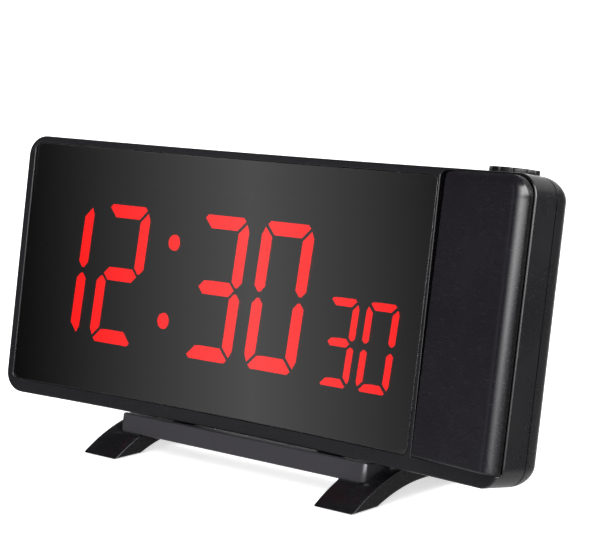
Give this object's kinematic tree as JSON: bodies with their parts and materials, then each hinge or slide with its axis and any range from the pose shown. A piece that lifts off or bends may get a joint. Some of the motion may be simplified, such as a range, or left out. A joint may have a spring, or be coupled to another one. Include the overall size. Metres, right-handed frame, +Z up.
{
  "type": "projection alarm clock",
  "caption": "Wide black alarm clock with a concave half-mirror display of red digits, a projector block at its right end with a focus ring on top, and a bar stand on arched feet.",
  "frame": {"origin": "on the table, under the middle of the feet; the case is centred on it from left to right", "axes": "+X along the clock towards its projector end, +Y from the display towards the back, +Z up"},
  "size_m": [0.2, 0.066, 0.0977],
  "materials": {
    "case_plastic": "moulded black with a satin gloss",
    "cover_plastic": "moulded black, slightly softer gloss",
    "mirror_panel": "dark half-mirror acrylic that lit digits shine through",
    "mask_plastic": "matt black",
    "lit_segments": "red diffuser, lit",
    "unlit_segments": "red diffuser, unlit behind dark foil",
    "circuit_board": "solder mask green",
    "led_resin": "clear-yellow resin",
    "chip_resin": "black epoxy",
    "plain_steel": "nickel plated",
    "contact_brass": "plain",
    "capacitor_sleeve": "dark blue sleeve",
    "switch_plastic": "black",
    "key_plastic": "black, fine grain",
    "projector_plastic": "black, fine grain",
    "lens_glass": "clear",
    "shutter_glass": "smoked",
    "ribbon_film": "white film",
    "stand_plastic": "black, fine grain",
    "pad_rubber": "matt black"
  },
  "bodies": {
    "clock": {"front_shell": "case_plastic", "rear_cover": "case_plastic", "projector_cover": "cover_plastic", "mirror_panel": "mirror_panel", "light_mask": "mask_plastic", "lit_segments": "lit_segments", "unlit_segments": "unlit_segments", "main_board": "circuit_board", "projector_board": "circuit_board", "segment_leds": "led_resin", "projector_led": "led_resin", "control_chip": "chip_resin", "clock_crystal": "plain_steel", "capacitor": "capacitor_sleeve", "tact_switches": "switch_plastic", "buzzer": "switch_plastic", "power_jack": "switch_plastic", "jack_pin": "contact_brass", "dimmer_switch": "plain_steel", "battery_contacts": "contact_brass", "coin_cell": "plain_steel", "projector_tube": "projector_plastic", "condenser_lens": "lens_glass", "shutter_glass": "shutter_glass", "projector_ribbon": "ribbon_film", "case_screws": "plain_steel", "board_screws": "plain_steel", "projector_screws": "plain_steel", "stand_bar": "stand_plastic", "left_foot": "stand_plastic", "right_foot": "stand_plastic", "stand_screws": "plain_steel", "foot_screws": "plain_steel", "foot_pads": "pad_rubber"},
    "snooze_key": {"snooze_key": "key_plastic"},
    "set_key": {"set_key": "key_plastic"},
    "alarm_key": {"alarm_key": "key_plastic"},
    "up_key": {"up_key": "key_plastic"},
    "down_key": {"down_key": "key_plastic"},
    "projector_key": {"projector_key": "key_plastic"},
    "dimmer_knob": {"dimmer_knob": "key_plastic"},
    "battery_door": {"battery_door": "case_plastic"},
    "focus_ring": {"focus_ring": "projector_plastic"},
    "lens_barrel": {"lens_barrel": "projector_plastic", "projection_lens": "lens_glass"}
  },
  "joints": [
    {"name": "snooze_key_press", "type": "slide", "parent": "clock", "child": "snooze_key", "axis": [0, -0.9863, 0.165], "range_m": [0, 0.0006], "stiffness_N_per_m": 600},
    {"name": "set_key_press", "type": "slide", "parent": "clock", "child": "set_key", "axis": [0, -0.9863, 0.165], "range_m": [0, 0.0006], "stiffness_N_per_m": 600},
    {"name": "alarm_key_press", "type": "slide", "parent": "clock", "child": "alarm_key", "axis": [0, -0.9863, 0.165], "range_m": [0, 0.0006], "stiffness_N_per_m": 600},
    {"name": "up_key_press", "type": "slide", "parent": "clock", "child": "up_key", "axis": [0, -0.9863, 0.165], "range_m": [0, 0.0006], "stiffness_N_per_m": 600},
    {"name": "down_key_press", "type": "slide", "parent": "clock", "child": "down_key", "axis": [0, -0.9863, 0.165], "range_m": [0, 0.0006], "stiffness_N_per_m": 600},
    {"name": "projector_key_press", "type": "slide", "parent": "clock", "child": "projector_key", "axis": [0, -0.9863, 0.165], "range_m": [0, 0.0006], "stiffness_N_per_m": 600},
    {"name": "dimmer_slide", "type": "slide", "parent": "clock", "child": "dimmer_knob", "axis": [1, 0, 0], "range_m": [-0.002, 0.002]},
    {"name": "battery_door_off", "type": "slide", "parent": "clock", "child": "battery_door", "axis": [0, 0.9863, -0.165], "range_m": [0, 0.012]},
    {"name": "focus_turn", "type": "hinge", "parent": "clock", "child": "focus_ring", "pos_m": [0.0845, 0.00024, 0.09509], "axis": [0, 0.165, 0.9863], "range_deg": [-140, 140]},
    {"name": "lens_slide", "type": "slide", "parent": "clock", "child": "lens_barrel", "axis": [0, 0.165, 0.9863], "range_m": [-0.00078, 0.00078]}
  ],
  "couplings": [
    {"joint": "focus_turn", "follows": "lens_slide", "rad_per_m": 3141.6}
  ]
}
